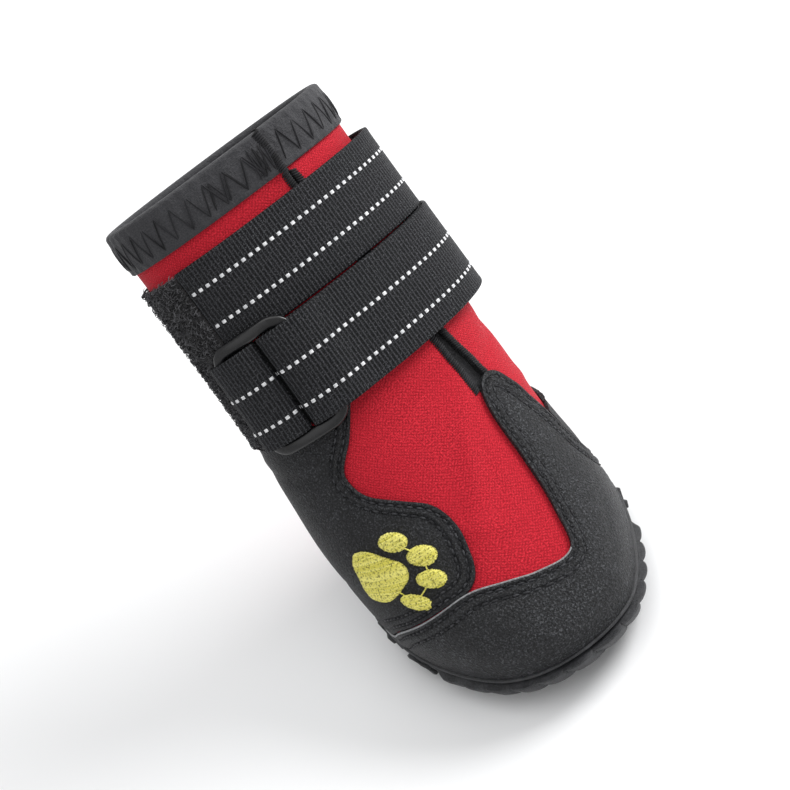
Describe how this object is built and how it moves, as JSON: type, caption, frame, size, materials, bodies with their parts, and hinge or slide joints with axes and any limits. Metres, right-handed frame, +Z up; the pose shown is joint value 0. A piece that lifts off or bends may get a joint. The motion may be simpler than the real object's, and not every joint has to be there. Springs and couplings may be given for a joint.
{
  "type": "dog bootie",
  "caption": "Dog bootie for a right paw: rubber cup sole, red softshell upper with black overlays, hook-and-loop straps through a ring, yellow paw embroidery.",
  "frame": {"origin": "middle of the outer box, on the floor under the sole", "axes": "toe towards -Y, heel towards +Y, +Z up, outer side of the paw towards -X"},
  "size_m": [0.0742, 0.13, 0.1216],
  "materials": {
    "rubber": "moulded, matt, with a light sheen",
    "softshell": "fine diagonal softshell weave",
    "footbed": "dark felt",
    "leather_cap": "pebbled synthetic leather, double stitched",
    "leather_panel": "pebbled synthetic leather, double stitched",
    "binding": "smooth elastic binding with zigzag stitches",
    "gusset_cloth": "thin knitted cloth",
    "loop_cloth": "fuzzy hook-and-loop field",
    "webbing": "cross-ribbed webbing with two dotted reflective lines",
    "ring_plastic": "moulded, glossy",
    "paw_thread": "satin-stitch embroidery"
  },
  "bodies": {
    "root": {"outsole": "rubber", "upper": "softshell", "insole": "footbed", "toe_cap": "leather_cap", "outer_panel": "leather_panel", "inner_panel": "leather_panel", "collar_binding": "binding", "gusset": "gusset_cloth", "loop_patch": "loop_cloth", "upper_strap": "webbing", "lower_strap": "webbing", "ring_tab": "webbing", "ring": "ring_plastic", "paw_print": "paw_thread"}
  },
  "joints": []
}
